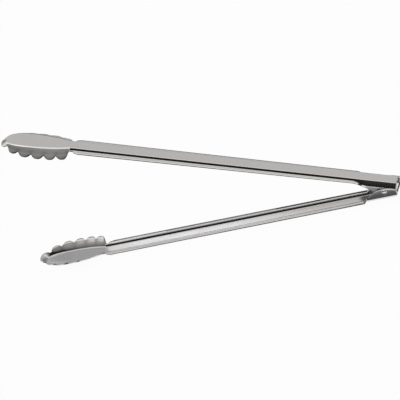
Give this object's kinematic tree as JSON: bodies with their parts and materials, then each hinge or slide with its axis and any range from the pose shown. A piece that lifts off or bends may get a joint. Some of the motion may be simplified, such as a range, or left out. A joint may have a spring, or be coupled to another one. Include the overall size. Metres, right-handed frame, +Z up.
{
  "type": "kitchen tongs",
  "caption": "Stainless steel utility tongs with two channel arms, scalloped bowl ends, and a riveted hinge sprung open by a coil spring.",
  "frame": {"origin": "on the flat back of the outer arm, straight below the hinge rivet, where the tongs rest", "axes": "+X along the outer arm from the bowls to the hinge end, +Y along the rivet, +Z up, towards the inner arm, which stands open"},
  "size_m": [0.4072, 0.0382, 0.1639],
  "materials": {
    "arm_steel": "polished stamped stainless steel sheet",
    "rivet_steel": "bright headed rivet",
    "spring_steel": "drawn stainless spring wire"
  },
  "bodies": {
    "outer_arm": {"outer_arm": "arm_steel", "hinge_rivet": "rivet_steel", "torsion_spring": "spring_steel"},
    "inner_arm": {"inner_arm": "arm_steel"}
  },
  "joints": [
    {"name": "grip_hinge", "type": "hinge", "parent": "outer_arm", "child": "inner_arm", "pos_m": [0, 0, 0.0115], "axis": [0, -1, 0], "range_deg": [0, 22.77], "stiffness_Nm_per_rad": 0.9, "springref_deg": -22.92, "deforming": ["torsion_spring"]}
  ]
}
